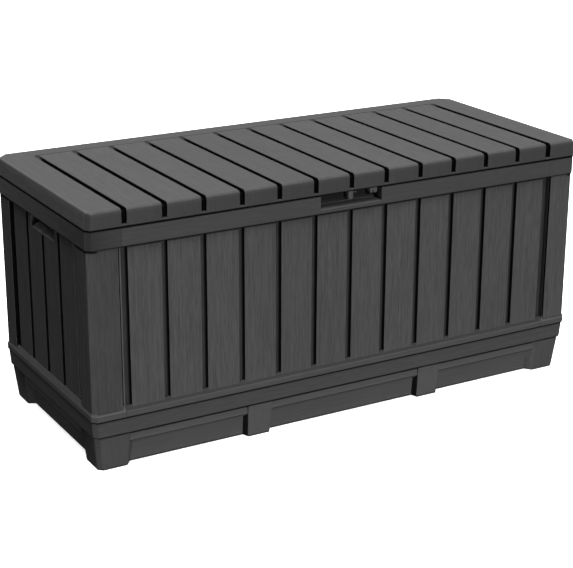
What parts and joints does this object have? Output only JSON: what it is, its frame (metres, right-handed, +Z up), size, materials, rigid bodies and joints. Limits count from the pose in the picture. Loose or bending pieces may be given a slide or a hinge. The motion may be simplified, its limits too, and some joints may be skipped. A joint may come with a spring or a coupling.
{
  "type": "deck storage box",
  "caption": "Long slatted resin deck storage box on a footed base, with grooved plank lid hinged at the rear, side hand pockets and a front lock recess.",
  "frame": {"origin": "on the ground under the middle of the box's outline", "axes": "+Z up, -Y out of the front with the lock recess, +X to the right seen from the front"},
  "size_m": [1.2876, 0.5448, 0.5911],
  "materials": {
    "graphite_resin": "matte, fine wood grain embossed",
    "dark_resin": "matte, plain moulded",
    "grey_resin": "satin moulded",
    "zinc_steel": "zinc plated"
  },
  "bodies": {
    "box": {"base_tray": "graphite_resin", "front_panel": "graphite_resin", "back_panel": "graphite_resin", "side_panel_left": "graphite_resin", "side_panel_right": "graphite_resin", "hinge_base_left": "dark_resin", "hinge_pin_left": "zinc_steel", "hinge_base_centre": "dark_resin", "hinge_pin_centre": "zinc_steel", "hinge_base_right": "dark_resin", "hinge_pin_right": "zinc_steel", "wall_screw_left_front_upper": "zinc_steel", "wall_screw_left_front_lower": "zinc_steel", "wall_screw_left_rear_upper": "zinc_steel", "wall_screw_left_rear_lower": "zinc_steel", "wall_screw_right_front_upper": "zinc_steel", "wall_screw_right_front_lower": "zinc_steel", "wall_screw_right_rear_upper": "zinc_steel", "wall_screw_right_rear_lower": "zinc_steel", "base_screw_left_rear": "zinc_steel", "base_screw_left_front": "zinc_steel", "base_screw_right_rear": "zinc_steel", "base_screw_right_front": "zinc_steel"},
    "lid": {"lid_shell": "graphite_resin", "lid_liner": "dark_resin", "lock_lug_left": "grey_resin", "lock_lug_right": "grey_resin", "hinge_leaf_left": "dark_resin", "hinge_leaf_centre": "dark_resin", "hinge_leaf_right": "dark_resin", "liner_screw_left_front": "zinc_steel", "liner_screw_left_rear": "zinc_steel", "liner_screw_centre_front": "zinc_steel", "liner_screw_centre_rear": "zinc_steel", "liner_screw_right_front": "zinc_steel", "liner_screw_right_rear": "zinc_steel"}
  },
  "joints": [
    {"name": "lid_hinge", "type": "hinge", "parent": "box", "child": "lid", "pos_m": [0, 0.26501, 0.54436], "axis": [-1, 0, 0], "range_deg": [0, 100]}
  ]
}
